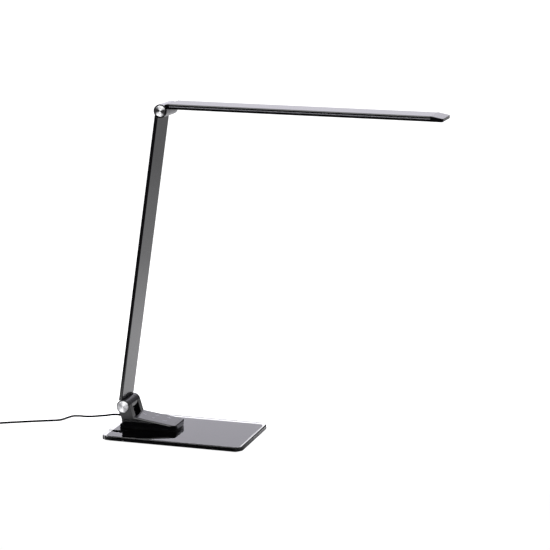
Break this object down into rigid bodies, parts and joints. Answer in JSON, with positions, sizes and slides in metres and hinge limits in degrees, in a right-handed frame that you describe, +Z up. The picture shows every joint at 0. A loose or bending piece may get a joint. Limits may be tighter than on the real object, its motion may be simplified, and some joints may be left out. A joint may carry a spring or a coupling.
{
  "type": "folding led desk lamp",
  "caption": "Slim folding LED desk lamp: a flat head and a flat arm on friction hinges, a touch console on a heavy black glass base plate.",
  "frame": {"origin": "centre of the base plate on the surface that the lamp stands on", "axes": "+Z up, +X from the hinge end of the base plate towards the end under the head, +Y across the lamp to its left"},
  "size_m": [0.7473, 0.1425, 0.4565],
  "materials": {
    "pad": "matt black rubber sheet",
    "weight": "black powder coated steel",
    "black_glass": "clear float glass painted black on its back, ground bevel",
    "gloss_black": "high gloss black ABS",
    "panel_black": "gloss black acrylic touch panel with white marks",
    "insert_black": "satin black ABS",
    "black_anodised": "black anodised aluminium, satin",
    "black_zinc": "satin black lacquered die-cast zinc",
    "bright_aluminium": "polished aluminium",
    "spun_aluminium": "spun, finely turned aluminium",
    "steel": "plated steel",
    "nylon": "grey nylon",
    "grey_rail": "dark grey satin ABS",
    "opal": "opal acrylic",
    "board_green": "solder masked circuit board",
    "board_white": "white solder masked circuit board",
    "phosphor": "yellow phosphor over light chips",
    "cable_white": "white flat cable",
    "cord_black": "black PVC sheath",
    "adapter_black": "fine-textured black polycarbonate",
    "strap": "black hook-and-loop strap"
  },
  "bodies": {
    "base": {"anti_slip_pad": "pad", "base_weight": "weight", "glass_plate": "black_glass", "base_screws": "steel", "console_foot": "gloss_black", "console_housing": "gloss_black", "touch_panel": "panel_black", "touch_springs": "steel", "control_board": "board_green", "nose_insert": "insert_black", "lower_axle": "steel", "lower_friction_washers": "steel", "lower_lock_nut": "steel", "lower_cover_discs": "spun_aluminium", "cord_strain_relief": "cord_black", "power_cord": "cord_black", "cord_coil": "cord_black", "cord_tie": "strap", "wall_adapter": "adapter_black", "adapter_relief": "cord_black", "adapter_blades": "steel"},
    "arm": {"arm_lower_knuckle": "black_zinc", "lower_bushes": "nylon", "arm_bar": "black_anodised", "arm_cable": "cable_white", "arm_back_strip": "gloss_black", "arm_screws": "steel", "arm_upper_knuckle": "bright_aluminium", "upper_bushes": "nylon"},
    "head": {"upper_axle": "steel", "upper_friction_washers": "steel", "upper_lock_nut": "steel", "head_knuckle": "bright_aluminium", "upper_end_rings": "gloss_black", "upper_cover_discs": "spun_aluminium", "head_root_cap": "gloss_black", "head_cover": "black_anodised", "head_rail": "grey_rail", "head_bezel": "gloss_black", "head_diffuser": "opal", "light_board": "board_white", "light_chips": "phosphor", "head_tip_cap": "gloss_black", "head_screws": "steel"}
  },
  "joints": [
    {"name": "arm_hinge", "type": "hinge", "parent": "base", "child": "arm", "pos_m": [-0.0825, 0, 0.0385], "axis": [0, 1, 0], "range_deg": [-15, 81.5]},
    {"name": "head_hinge", "type": "hinge", "parent": "arm", "child": "head", "pos_m": [-0.02272, 0, 0.44675], "axis": [0, 1, 0], "range_deg": [-50, 97.5]}
  ]
}
